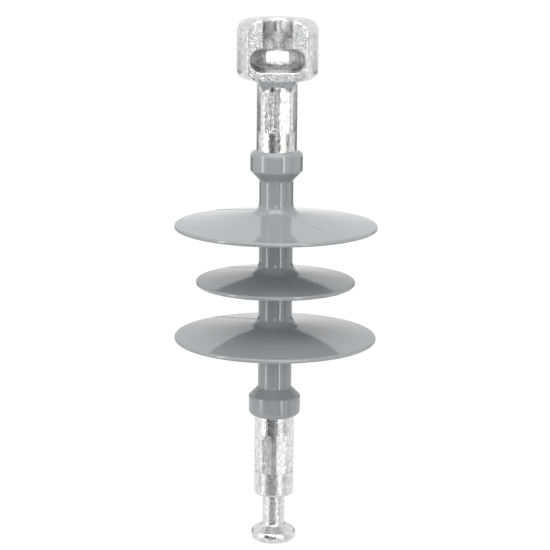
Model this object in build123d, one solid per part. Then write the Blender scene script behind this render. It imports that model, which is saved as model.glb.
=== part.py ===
from build123d import *
from math import acos, degrees, radians, sin, sqrt, tan
import os

# Composite suspension insulator with a socket at the top and a ball at the bottom.
# Millimetres. Z is the axis of the string. The origin is the centre of the mating ball
# as it hangs seated in the socket, and the socket opens towards -Y.

# ---- overall ----
coupling_length = 360.0       # seated mating ball to this insulator's own ball

# ---- mating ball pin that the socket takes ----
mate_ball_dia = 33.3
mate_ball_height = 13.4
mate_shank_dia = 17.0
entry_side_gap = 2.7          # ball to each side wall of the entry
entry_headroom = 3.0          # ball to the roof of the entry as it goes in
pocket_gap = 0.75             # ball to the wall of the seat pocket
throat_gap = 3.5              # shank to throat, both sides together

# ---- socket head ----
head_top = 17.5               # above the seated ball's centre
head_top_round = 9.0
head_foot_round = 7.0
side_wall = 9.45              # metal beside the entry, on the axis
front_wall = 1.4              # metal beside the entry, at the front face
front_edge_round = 1.2
entry_drop = 2.4              # seated ball's centre to the roof of the entry
pocket_rise = 4.7             # roof of the entry to the rim of the spherical seat
seat_radius = 24.5
floor_web = 8.2               # metal under the cavity floor
foot_slope = 14.0             # degrees, shallow cone under the head
throat_round = 3.0            # lips of the throat at the top
throat_lip_turn = 78.0        # degrees that each lip turns before it meets the top
mouth_round = 0.7             # edge of the keyhole in the front face
window_width = 16.4
window_height = 8.4
window_sill = 3.2             # cavity floor to the bottom of the locking window
window_round = 1.5
apron_width = 29.0            # fairing from the front face down to the barrel
apron_foot_width = 19.0
apron_drop = 10.4
apron_start = 4.0             # top of the fairing above the head's underside

# ---- crimped barrels ----
barrel_dia = 28.9
neck_round = 3.0              # head to barrel
socket_barrel_exposed = 48.6  # head's underside to the collar
ball_barrel_exposed = 60.0    # collar to the end of the lower barrel
barrel_end_round = 1.8
barrel_cover = 13.5           # length of barrel that each collar covers
crimp_sides = 8
crimp_depth = 0.5
crimp_length = 29.0
crimp_offset = 13.5           # collar to the near end of the crimp
bore_end_web = 7.0            # metal between the bore's end and the barrel's end

# ---- ball pin ----
barrel_end_to_ball = 30.0
shank_dia = 16.2
shank_root_round = 1.0        # barrel to shank
shank_round = 3.0             # shank to ball
ball_dia = 33.0
ball_crown = 6.8              # ball's centre to the root of its bearing face
ball_foot = 5.4               # ball's centre to the rim of its underside
ball_foot_crown = 0.7
ball_upper_round = 3.4
ball_lower_round = 4.4

# ---- glass-fibre core rod ----
rod_dia = 18.0
rod_end_gap = 2.0
rod_chamfer = 0.8

# ---- silicone housing ----
trunk_dia = 24.5
collar_dia = 37.7
collar_straight = 14.6        # end of the collar to the start of its cone
collar_cone_angle = 45.0
collar_end_round = 4.0
collar_cone_round = 2.2
collar_root_round = 2.0
large_shed_dia = 146.0
small_shed_dia = 115.0
first_shed = 55.0             # upper end of the housing to the first shed's rim
last_shed = 57.8              # lower end of the housing to the last shed's rim
rim_thickness = 3.0
shed_top_slope = 8.5          # degrees
shed_under_slope = 3.0
shed_top_round = 8.0
shed_under_round = 5.0

# ---- levels and radii worked out from the above ----
entry_radius = mate_ball_dia / 2 + entry_side_gap
entry_height = mate_ball_height + entry_headroom
head_radius = entry_radius + side_wall
front_flat = sqrt(head_radius**2 - (entry_radius + front_wall) ** 2)
throat_radius = (mate_shank_dia + throat_gap) / 2
barrel_radius = barrel_dia / 2
rod_radius = rod_dia / 2
entry_roof = -entry_drop
cavity_floor = entry_roof - entry_height
entry_middle = entry_roof - entry_height / 2
head_foot = cavity_floor - floor_web
upper_collar_end = head_foot - socket_barrel_exposed
upper_mouth = upper_collar_end - barrel_cover
ball_level = -coupling_length
lower_barrel_end = ball_level + barrel_end_to_ball
lower_collar_end = lower_barrel_end + ball_barrel_exposed
lower_mouth = lower_collar_end + barrel_cover
upper_bore_end = head_foot - bore_end_web
lower_bore_end = lower_barrel_end + bore_end_web


def turned(points, radii):
    """Solid of revolution about Z from (radius, height) corners, each with its rounding."""
    outline = FilletPolyline(*points, radius=radii, close=True)
    return revolve(Plane.XZ * make_face(outline), Axis.Z, 360)


def crimp_marks(level):
    """Ring of metal that the crimping dies press in, its middle at the given height."""
    flats = RegularPolygon(barrel_radius - crimp_depth, crimp_sides, major_radius=False)
    ring = Circle(barrel_radius + 2 * crimp_depth) - flats
    return Pos(0, 0, level - crimp_length / 2) * extrude(ring, crimp_length)


def head_blank():
    """Forged head with its barrel, before the coupling cavity is cut."""
    foot_rise = (head_radius - barrel_radius) * tan(radians(foot_slope))
    body = turned(
        [
            (0, head_top),
            (head_radius, head_top),
            (head_radius, head_foot + foot_rise),
            (barrel_radius, head_foot),
            (barrel_radius, upper_mouth),
            (0, upper_mouth),
        ],
        [0, head_top_round, head_foot_round, neck_round, 0, 0],
    )
    body += apron()
    beyond_flat = Box(4 * head_radius, 2 * head_radius, 4 * head_radius)
    beyond_flat = Pos(0, -front_flat - head_radius, 0) * beyond_flat
    body -= beyond_flat
    front_face = body.faces().sort_by(Axis.Y)[0]
    return fillet(front_face.edges(), front_edge_round)


def apron():
    """Fairing under the front face, which narrows as it runs down into the barrel."""
    foot_reach = sqrt(barrel_radius**2 - (apron_foot_width / 2) ** 2)
    top_level = head_foot + apron_start
    top = Pos(0, -front_flat / 2, top_level) * Rectangle(apron_width, front_flat)
    foot = Pos(0, -foot_reach / 2, top_level - apron_drop) * Rectangle(apron_foot_width, foot_reach)
    return loft([top, foot])


def keyhole_run(section):
    """Half section in XZ, turned about Z at the back and carried straight to the front."""
    mirrored = section + mirror(section, Plane.YZ)
    return revolve(Plane.XZ * section, Axis.Z, 360) + extrude(Plane.XZ * mirrored, head_radius)


def entry_section():
    """Half of the keyhole's lower part, round at its end."""
    whole = SlotOverall(2 * entry_radius, entry_height)
    half = whole & Pos(entry_radius, 0) * Rectangle(2 * entry_radius, 2 * entry_height)
    return Pos(0, entry_middle) * half


def throat_section():
    """Half of the throat, which flares in a round lip at the top of the head."""
    lip_start = head_top - throat_round * sin(radians(throat_lip_turn))
    above = head_top + throat_round
    lip = CenterArc((throat_radius + throat_round, lip_start), throat_round, 180, -throat_lip_turn).edge()
    outline = Wire(
        [
            Edge.make_line((0, entry_middle), (throat_radius, entry_middle)),
            Edge.make_line((throat_radius, entry_middle), (throat_radius, lip_start)),
            lip,
            Edge.make_line(lip @ 1, ((lip @ 1).X, above)),
            Edge.make_line(((lip @ 1).X, above), (0, above)),
            Edge.make_line((0, above), (0, entry_middle)),
        ]
    )
    return make_face(outline)


def seat_pocket():
    """Pocket over the entry, closed by the spherical seat that the ball bears on."""
    pocket_radius = mate_ball_dia / 2 + pocket_gap
    pocket_rim = entry_roof + pocket_rise
    seat_centre = pocket_rim - sqrt(seat_radius**2 - pocket_radius**2)
    seat_start = degrees(acos(pocket_radius / seat_radius))
    outline = Wire(
        [
            Edge.make_line((0, entry_middle), (pocket_radius, entry_middle)),
            Edge.make_line((pocket_radius, entry_middle), (pocket_radius, pocket_rim)),
            CenterArc((0, seat_centre), seat_radius, seat_start, 90 - seat_start).edge(),
            Edge.make_line((0, seat_centre + seat_radius), (0, entry_middle)),
        ]
    )
    return revolve(Plane.XZ * make_face(outline), Axis.Z, 360)


def coupling_cavity():
    """Space for the mating ball: side entry, seat pocket, throat and locking window."""
    window_level = cavity_floor + window_sill + window_height / 2
    window_face = Pos(0, window_level) * RectangleRounded(window_width, window_height, window_round)
    window = extrude(Plane.XZ * window_face, -head_radius)
    return keyhole_run(entry_section()) + keyhole_run(throat_section()) + seat_pocket() + window


def socket_fitting():
    """Forged, hot-dip galvanised socket with its crimped barrel, one piece."""
    cavity = coupling_cavity()
    body = head_blank() - cavity
    front_face = body.faces().filter_by(Plane.XZ).sort_by(Axis.Y)[0]
    keyhole = [edge for edge in front_face.edges() if cavity.distance_to(edge @ 0.5) < 0.01]
    body = fillet(keyhole, mouth_round)
    body -= Pos(0, 0, upper_mouth) * extrude(Circle(rod_radius), upper_bore_end - upper_mouth)
    body -= crimp_marks(upper_collar_end + crimp_offset + crimp_length / 2)
    return body


def ball_fitting():
    """Forged, hot-dip galvanised ball pin with its crimped barrel, one piece."""
    shank_radius = shank_dia / 2
    ball_radius = ball_dia / 2
    bearing_drop = sqrt(seat_radius**2 - shank_radius**2) - sqrt(seat_radius**2 - ball_radius**2)
    bearing_rim = ball_crown - bearing_drop
    body = turned(
        [
            (0, lower_mouth),
            (barrel_radius, lower_mouth),
            (barrel_radius, lower_barrel_end),
            (shank_radius, lower_barrel_end),
            (shank_radius, ball_level + ball_crown),
            (ball_radius, ball_level + bearing_rim),
            (ball_radius, ball_level - ball_foot),
            (0, ball_level - ball_foot - ball_foot_crown),
        ],
        [0, 0, barrel_end_round, shank_root_round, shank_round, ball_upper_round, ball_lower_round, 0],
    )
    body -= Pos(0, 0, lower_bore_end) * extrude(Circle(rod_radius), lower_mouth - lower_bore_end)
    body -= crimp_marks(lower_collar_end - crimp_offset - crimp_length / 2)
    return body


def core_rod():
    """Glass-fibre reinforced rod that carries the load from one barrel to the other."""
    top = upper_bore_end - rod_end_gap
    bottom = lower_bore_end + rod_end_gap
    return turned(
        [
            (0, top),
            (rod_radius - rod_chamfer, top),
            (rod_radius, top - rod_chamfer),
            (rod_radius, bottom + rod_chamfer),
            (rod_radius - rod_chamfer, bottom),
            (0, bottom),
        ],
        [0, 0, 0, 0, 0, 0],
    )


def shed_corners(level, diameter):
    """Corners and roundings of one shed, from the trunk out to the rim and back."""
    trunk_radius = trunk_dia / 2
    rim_radius = diameter / 2
    reach = rim_radius - trunk_radius
    upper = level + rim_thickness / 2
    lower = level - rim_thickness / 2
    rim_round = 0.46 * rim_thickness
    points = [
        (trunk_radius, upper + reach * tan(radians(shed_top_slope))),
        (rim_radius, upper),
        (rim_radius, lower),
        (trunk_radius, lower + reach * tan(radians(shed_under_slope))),
    ]
    return points, [shed_top_round, rim_round, rim_round, shed_under_round]


def housing():
    """Silicone housing moulded in one piece: sheath, sheds and the two end collars."""
    collar_radius = collar_dia / 2
    trunk_radius = trunk_dia / 2
    cone = (collar_radius - trunk_radius) / tan(radians(collar_cone_angle))
    upper_cone = upper_collar_end - collar_straight
    lower_cone = lower_collar_end + collar_straight
    points = [
        (barrel_radius, upper_collar_end),
        (collar_radius, upper_collar_end),
        (collar_radius, upper_cone),
        (trunk_radius, upper_cone - cone),
    ]
    radii = [0, collar_end_round, collar_cone_round, collar_root_round]
    diameters = [large_shed_dia, small_shed_dia, large_shed_dia]
    first_level = upper_collar_end - first_shed
    pitch = (first_level - lower_collar_end - last_shed) / (len(diameters) - 1)
    for place, diameter in enumerate(diameters):
        level = first_level - place * pitch
        corners, roundings = shed_corners(level, diameter)
        points += corners
        radii += roundings
    points += [
        (trunk_radius, lower_cone + cone),
        (collar_radius, lower_cone),
        (collar_radius, lower_collar_end),
        (barrel_radius, lower_collar_end),
        (barrel_radius, lower_mouth),
        (rod_radius, lower_mouth),
        (rod_radius, upper_mouth),
        (barrel_radius, upper_mouth),
    ]
    radii += [collar_root_round, collar_cone_round, collar_end_round, 0, 0, 0, 0, 0]
    return turned(points, radii)


nodes = {
    "socket_fitting": socket_fitting(),
    "housing": housing(),
    "core_rod": core_rod(),
    "ball_fitting": ball_fitting(),
}

os.makedirs("parts", exist_ok=True)
for name, shape in nodes.items():
    export_step(shape, f"parts/{name}.step")
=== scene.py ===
from math import cos, pi, radians, sin, tan

import bmesh
import bpy
from mathutils import Matrix, Vector


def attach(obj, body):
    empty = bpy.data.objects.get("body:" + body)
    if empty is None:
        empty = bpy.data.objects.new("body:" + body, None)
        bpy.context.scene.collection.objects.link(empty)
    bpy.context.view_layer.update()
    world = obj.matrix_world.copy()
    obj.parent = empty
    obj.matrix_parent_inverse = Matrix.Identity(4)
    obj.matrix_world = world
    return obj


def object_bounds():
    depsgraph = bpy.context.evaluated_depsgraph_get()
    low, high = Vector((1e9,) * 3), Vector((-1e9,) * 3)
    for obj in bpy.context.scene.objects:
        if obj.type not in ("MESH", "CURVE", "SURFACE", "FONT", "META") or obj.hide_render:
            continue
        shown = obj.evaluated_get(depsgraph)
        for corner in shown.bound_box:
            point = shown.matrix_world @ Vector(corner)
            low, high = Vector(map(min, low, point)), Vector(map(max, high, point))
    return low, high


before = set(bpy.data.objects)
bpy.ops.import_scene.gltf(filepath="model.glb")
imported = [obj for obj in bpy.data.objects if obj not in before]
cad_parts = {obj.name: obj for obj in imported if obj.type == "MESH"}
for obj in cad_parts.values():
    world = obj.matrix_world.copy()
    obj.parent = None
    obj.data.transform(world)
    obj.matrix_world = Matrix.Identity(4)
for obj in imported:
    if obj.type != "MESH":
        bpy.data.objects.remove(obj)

cad_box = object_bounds()


# ---------------------------------------------------------------- node helpers
def new_material(name):
    """Empty node material with a Principled shader wired to its output."""
    material = bpy.data.materials.new(name)
    material.use_nodes = True
    tree = material.node_tree
    tree.nodes.clear()
    output = tree.nodes.new("ShaderNodeOutputMaterial")
    shader = tree.nodes.new("ShaderNodeBsdfPrincipled")
    tree.links.new(shader.outputs["BSDF"], output.inputs["Surface"])
    return material, tree, shader


def add_node(tree, kind, links=None, **settings):
    """Node with its settings: an input's value by name, or an attribute of the node."""
    node = tree.nodes.new(kind)
    for name, value in settings.items():
        label = name.replace("_", " ").title()
        if label in node.inputs:
            node.inputs[label].default_value = value
        else:
            setattr(node, name, value)
    for name, source in (links or {}).items():
        tree.links.new(source, node.inputs[name])
    return node


def ramp(tree, source, stops):
    """Colour ramp through (position, grey or colour) stops."""
    node = tree.nodes.new("ShaderNodeValToRGB")
    elements = node.color_ramp.elements
    while len(elements) < len(stops):
        elements.new(0.5)
    for element, (position, colour) in zip(elements, stops):
        element.position = position
        grey = (colour, colour, colour) if isinstance(colour, (int, float)) else colour
        element.color = (*grey, 1.0)
    tree.links.new(source, node.inputs["Fac"])
    return node


def place(tree, stretch=(1.0, 1.0, 1.0)):
    """Coordinates fixed to the part, in metres, stretched along an axis if asked."""
    coordinates = add_node(tree, "ShaderNodeTexCoord")
    mapping = add_node(tree, "ShaderNodeMapping", {"Vector": coordinates.outputs["Object"]})
    mapping.inputs["Scale"].default_value = stretch
    return mapping.outputs["Vector"]


def noise(tree, vector, scale, detail=4.0, roughness=0.55):
    """Noise texture's factor at a scale in cycles per metre."""
    settings = {"scale": scale, "detail": detail, "roughness": roughness}
    return add_node(tree, "ShaderNodeTexNoise", {"Vector": vector}, **settings).outputs["Fac"]


def multiply(tree, first, second):
    """Product of two colours or greys."""
    node = add_node(tree, "ShaderNodeMixRGB", {"Color1": first, "Color2": second}, blend_type="MULTIPLY")
    node.inputs["Fac"].default_value = 1.0
    return node.outputs["Color"]


def bump(tree, height, distance, strength, under=None):
    """Bump layer on top of another layer's normal."""
    links = {"Height": height}
    if under is not None:
        links["Normal"] = under
    return add_node(tree, "ShaderNodeBump", links, distance=distance, strength=strength).outputs["Normal"]


# ---------------------------------------------------------------- materials
def galvanised_steel():
    """Hot-dip zinc: bright and spangled, with runs along the axis, orange peel and scuffs, and painted
    shade in its hollows.
    """
    material, tree, shader = new_material("galvanised_steel")
    shader.inputs["Metallic"].default_value = 1.0
    even = place(tree)
    drawn = place(tree, stretch=(1.0, 1.0, 0.16))

    spangle = add_node(tree, "ShaderNodeTexVoronoi", {"Vector": even}, scale=420.0)
    spangle_grey = ramp(tree, spangle.outputs["Color"], [(0.0, 0.57), (1.0, 0.82)])
    rubbed = noise(tree, drawn, scale=330.0, detail=8.0, roughness=0.7)
    scuffs = ramp(tree, rubbed, [(0.30, 0.45), (0.42, 1.0)])
    dulled = multiply(tree, spangle_grey.outputs["Color"], scuffs.outputs["Color"])
    # painted shade: the base colour is darkened where ambient occlusion finds hollows and recesses
    cavity = add_node(tree, "ShaderNodeAmbientOcclusion", samples=8, distance=0.014)
    painted_shade = ramp(tree, cavity.outputs["AO"], [(0.05, 0.55), (0.45, 1.0)])
    tree.links.new(multiply(tree, dulled, painted_shade.outputs["Color"]), shader.inputs["Base Color"])

    patches = noise(tree, drawn, scale=260.0, detail=6.0, roughness=0.65)
    sheen = ramp(tree, patches, [(0.38, 0.15), (0.68, 0.36)])
    tree.links.new(sheen.outputs["Color"], shader.inputs["Roughness"])

    runs = bump(tree, noise(tree, drawn, scale=170.0, detail=2.0), distance=0.0003, strength=0.3)
    orange_peel = noise(tree, even, scale=1200.0, detail=1.0)
    finish = bump(tree, orange_peel, distance=0.00024, strength=0.8, under=runs)
    tree.links.new(finish, shader.inputs["Normal"])
    return material


def silicone():
    """Moulded silicone rubber: mid grey and glossy, with a very faint bloom."""
    material, tree, shader = new_material("silicone")
    shader.inputs["Specular IOR Level"].default_value = 0.62
    even = place(tree)
    dark, pale = (0.252, 0.258, 0.267), (0.276, 0.282, 0.291)
    bloom = ramp(tree, noise(tree, even, scale=35.0, detail=5.0), [(0.3, dark), (0.7, pale)])
    tree.links.new(bloom.outputs["Color"], shader.inputs["Base Color"])
    sheen = ramp(tree, noise(tree, even, scale=60.0, detail=4.0), [(0.3, 0.055), (0.7, 0.115)])
    tree.links.new(sheen.outputs["Color"], shader.inputs["Roughness"])
    waves = bump(tree, noise(tree, even, scale=55.0, detail=2.0), distance=0.00012, strength=0.35)
    grain = noise(tree, even, scale=900.0, detail=3.0)
    tree.links.new(bump(tree, grain, distance=0.00002, strength=0.3, under=waves), shader.inputs["Normal"])
    return material


def glass_fibre():
    """Pultruded rod: straw-coloured resin with fibres along its length."""
    material, tree, shader = new_material("glass_fibre")
    fibres = noise(tree, place(tree, stretch=(1.0, 1.0, 0.01)), scale=2500.0, detail=3.0)
    dark, pale = (0.60, 0.62, 0.44), (0.74, 0.75, 0.58)
    colour = ramp(tree, fibres, [(0.3, dark), (0.7, pale)])
    tree.links.new(colour.outputs["Color"], shader.inputs["Base Color"])
    shader.inputs["Roughness"].default_value = 0.35
    tree.links.new(bump(tree, fibres, distance=0.00005, strength=0.5), shader.inputs["Normal"])
    return material


zinc = galvanised_steel()
rubber = silicone()
MATERIALS = {"socket_fitting": zinc, "housing": rubber, "core_rod": glass_fibre(), "ball_fitting": zinc}

for node, material in MATERIALS.items():
    for slot in bpy.data.objects[node].material_slots:
        slot.material = material


def add_object(name, data):
    thing = bpy.data.objects.new(name, data)
    bpy.context.scene.collection.objects.link(thing)
    return thing


# ---------------------------------------------------------------- parting line
PARTING_AZIMUTH = radians(38.5)      # of the mould's split, to the right of the front
FLASH_RADIUS = 0.0002
TRUNK_RADIUS = 0.0121                # just under the housing's thinnest outer skin
BORE_RADIUS = 0.0146                 # just over its widest bore


def on_outer_skin(vertex):
    """False in the housing's bore and on the steps inside it."""
    out = Vector((vertex.co.x, vertex.co.y, 0))
    radius = out.length
    inward = vertex.normal.dot(out) < -0.3 * radius
    step = radius < BORE_RADIUS and abs(vertex.normal.z) > 0.9
    return radius > TRUNK_RADIUS and not inward and not step


def parting_line():
    """Fine ridge that the mould leaves where its halves meet, over the housing's outer skin."""
    skin = bmesh.new()
    skin.from_mesh(bpy.data.objects["housing"].data)
    across = Vector((cos(PARTING_AZIMUTH), sin(PARTING_AZIMUTH), 0))
    everything = skin.verts[:] + skin.edges[:] + skin.faces[:]
    cut = bmesh.ops.bisect_plane(skin, geom=everything, plane_co=(0, 0, 0), plane_no=across)
    skin.normal_update()
    section = [item for item in cut["geom_cut"] if isinstance(item, bmesh.types.BMEdge)]
    kept = {edge for edge in section if all(on_outer_skin(vertex) for vertex in edge.verts)}
    bmesh.ops.delete(skin, geom=[edge for edge in skin.edges if edge not in kept], context="EDGES")
    bmesh.ops.delete(skin, geom=[vertex for vertex in skin.verts if not vertex.link_edges], context="VERTS")
    mesh = bpy.data.meshes.new("parting_line")
    skin.to_mesh(mesh)
    skin.free()

    line = add_object("parting_line", mesh)
    bpy.ops.object.select_all(action="DESELECT")
    bpy.context.view_layer.objects.active = line
    line.select_set(True)
    bpy.ops.object.convert(target="CURVE")
    line.data.bevel_depth = FLASH_RADIUS
    line.data.bevel_resolution = 1
    line.data.materials.append(rubber)
    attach(line, "root")


parting_line()


# ---------------------------------------------------------------- stage
HOME = Vector((-0.0004, 0, -0.1663))     # point at the middle of the picture
CAMERA_REACH = 1.398
CAMERA_TILT = radians(12.0)
CAMERA_ROLL = radians(0.52)
LENS = 127.047                           # focal length, mm
SENSOR_WIDTH = 36.0

FLOOR_DROP = 0.35                        # floor below the hanging part's lowest point
FLOOR_LEVEL = cad_box[0][2] - FLOOR_DROP
FLOOR_WIDTH = 12.0
SHADED_FLOOR = (0.3, 1.2)                # distances between which the floor turns from shaded to white
FLOOR_GLOW = (0.75, 1.0)                 # the floor's own glow at those distances
FLOOR_STRENGTH = 1.05                    # just over white, so that it stays white where it is lit less
FLOOR_GREY = 0.75
AMBIENT = 0.50

LIGHT_REACH = 1.5                        # soft boxes' distance from the middle of the picture
LIGHT_HEIGHT = 1.9
SIDE_LIFT = 8                            # degrees above the horizontal
STRIP_WIDTH = 0.80                       # wide soft box, which only lights
STRIP_BRIGHTNESS = 1.4
CORE_WIDTH = 0.22                        # narrow one, which makes the upright highlights
CORE_BRIGHTNESS = 4.8

FLAG_REACH = 1.0                         # black cards' distance from the axis
FLAG_GREY = 0.03
TALL_FLAG_TOP = 0.5
LOW_FLAG_TOP = -0.14                     # low cards are mirrored by the barrels, hardly by the head
REAR_FLAG_FOOT = -0.32


def direction(azimuth, elevation=0.0):
    """Unit vector out from the axis: azimuth 0 is the front, positive to the right."""
    a, e = radians(azimuth), radians(elevation)
    return Vector((sin(a) * cos(e), -cos(a) * cos(e), sin(e)))


def aim(thing, position, target, roll=0.0):
    """Put a camera, lamp or card somewhere, its -Z towards a target."""
    turn = (target - position).to_track_quat("-Z", "Y").to_matrix().to_4x4()
    thing.matrix_world = Matrix.Translation(position) @ turn @ Matrix.Rotation(roll, 4, "Z")


def card(name, width, height):
    """Flat rectangle in its own XY plane."""
    x, y = width / 2, height / 2
    mesh = bpy.data.meshes.new(name)
    mesh.from_pydata([(-x, -y, 0), (x, -y, 0), (x, y, 0), (-x, y, 0)], [], [(0, 1, 2, 3)])
    thing = add_object(name, mesh)
    return thing


def set_camera():
    data = bpy.data.cameras.new("camera")
    data.sensor_width = SENSOR_WIDTH
    data.lens = LENS
    camera = add_object("camera", data)
    back = Vector((0, -cos(CAMERA_TILT), sin(CAMERA_TILT)))
    aim(camera, HOME + CAMERA_REACH * back, HOME, CAMERA_ROLL)
    bpy.context.scene.camera = camera


def seen_directly(tree):
    """1 for what the camera sees straight, in a mirror or through glass."""
    path = tree.nodes.new("ShaderNodeLightPath")
    mirrored = add_node(tree, "ShaderNodeMath", {0: path.outputs["Is Glossy Ray"],
                                                 1: path.outputs["Is Transmission Ray"]},
                        operation="MAXIMUM")
    total = add_node(tree, "ShaderNodeMath", {0: path.outputs["Is Camera Ray"], 1: mirrored.outputs[0]},
                     operation="MAXIMUM")
    return total.outputs[0]


def lit_world():
    world = bpy.data.worlds.new("studio")
    bpy.context.scene.world = world
    world.use_nodes = True
    tree = world.node_tree
    tree.nodes.clear()
    output = tree.nodes.new("ShaderNodeOutputWorld")
    ambient = add_node(tree, "ShaderNodeBackground", color=(1, 1, 1, 1), strength=AMBIENT)
    white = add_node(tree, "ShaderNodeBackground", color=(1, 1, 1, 1), strength=1.0)
    mix = tree.nodes.new("ShaderNodeMixShader")
    tree.links.new(seen_directly(tree), mix.inputs["Fac"])
    tree.links.new(ambient.outputs[0], mix.inputs[1])
    tree.links.new(white.outputs[0], mix.inputs[2])
    tree.links.new(mix.outputs[0], output.inputs["Surface"])


def white_floor():
    """Pale floor that keeps the object's shadow round its foot and is white further out."""
    floor = card("floor", FLOOR_WIDTH, FLOOR_WIDTH)
    floor.location = (0, 0, FLOOR_LEVEL)
    material, tree, shader = new_material("floor")
    shader.inputs["Base Color"].default_value = (FLOOR_GREY, FLOOR_GREY, FLOOR_GREY, 1)
    shader.inputs["Roughness"].default_value = 0.9
    glow = add_node(tree, "ShaderNodeEmission", color=(1, 1, 1, 1), strength=FLOOR_STRENGTH)
    away = add_node(tree, "ShaderNodeVectorMath", {"Vector": place(tree)}, operation="LENGTH")
    near, far = SHADED_FLOOR
    near_glow, far_glow = FLOOR_GLOW
    share = add_node(tree, "ShaderNodeMapRange", {"Value": away.outputs["Value"]},
                     from_min=near, from_max=far, to_min=near_glow, to_max=far_glow)
    seen_share = add_node(tree, "ShaderNodeMath", {0: seen_directly(tree), 1: share.outputs["Result"]},
                          operation="MULTIPLY")
    mix = tree.nodes.new("ShaderNodeMixShader")
    tree.links.new(seen_share.outputs[0], mix.inputs["Fac"])
    tree.links.new(shader.outputs["BSDF"], mix.inputs[1])
    tree.links.new(glow.outputs[0], mix.inputs[2])
    output = next(node for node in tree.nodes if node.type == "OUTPUT_MATERIAL")
    tree.links.new(mix.outputs[0], output.inputs["Surface"])
    floor.data.materials.append(material)


def area_light(name, azimuth, elevation, width, height, brightness, reach=LIGHT_REACH):
    """Soft box turned to the part from a sphere round it; its power follows its area."""
    lamp = bpy.data.lights.new(name, "AREA")
    lamp.shape = "RECTANGLE"
    lamp.size = width
    lamp.size_y = height
    lamp.energy = brightness * pi * width * height
    soft_box = add_object(name, lamp)
    soft_box.visible_camera = False
    aim(soft_box, HOME + reach * direction(azimuth, elevation), HOME)
    return soft_box


def flag_material():
    material, tree, shader = new_material("flag")
    shader.inputs["Base Color"].default_value = (FLAG_GREY, FLAG_GREY, FLAG_GREY, 1)
    shader.inputs["Roughness"].default_value = 1.0
    shader.inputs["Specular IOR Level"].default_value = 0.0
    return material


def dark_flag(name, first, last, bottom, top, material):
    """Black card between two azimuths and two heights, seen only as a reflection in glossy surfaces."""
    middle = (first + last) / 2
    width = 2 * FLAG_REACH * tan(radians(abs(last - first) / 2))
    flag = card(name, width, top - bottom)
    level = Vector((0, 0, (top + bottom) / 2))
    aim(flag, level + FLAG_REACH * direction(middle), level)
    flag.visible_camera = False
    flag.visible_diffuse = False
    flag.visible_shadow = False
    flag.data.materials.append(material)


set_camera()
lit_world()
white_floor()

for side, azimuth, core_azimuth in (("left", -62, -63), ("right", 47, 33)):
    strip = area_light(f"strip_{side}", azimuth, SIDE_LIFT, STRIP_WIDTH, LIGHT_HEIGHT, STRIP_BRIGHTNESS)
    strip.visible_glossy = False
    area_light(f"core_{side}", core_azimuth, SIDE_LIFT, CORE_WIDTH, LIGHT_HEIGHT, CORE_BRIGHTNESS)
area_light("top_light", azimuth=0, elevation=70, width=1.4, height=1.4, brightness=2.7)
area_light("front_panel", azimuth=-2, elevation=12.2, width=0.30, height=0.36, brightness=1.8,
           reach=FLAG_REACH)

black = flag_material()
for name, first, last in (("right", 8, 27), ("far_right", 62, 70), ("left", -46, -8)):
    dark_flag(f"flag_{name}", first, last, FLOOR_LEVEL, TALL_FLAG_TOP, black)
dark_flag("flag_under_head", -8, 5, FLOOR_LEVEL, LOW_FLAG_TOP, black)
for name, first, last in (("right_edge", 122, 158), ("left_edge", -158, -122)):
    dark_flag(f"flag_{name}", first, last, REAR_FLAG_FOOT, LOW_FLAG_TOP, black)

bpy.context.scene.view_settings.view_transform = "Standard"
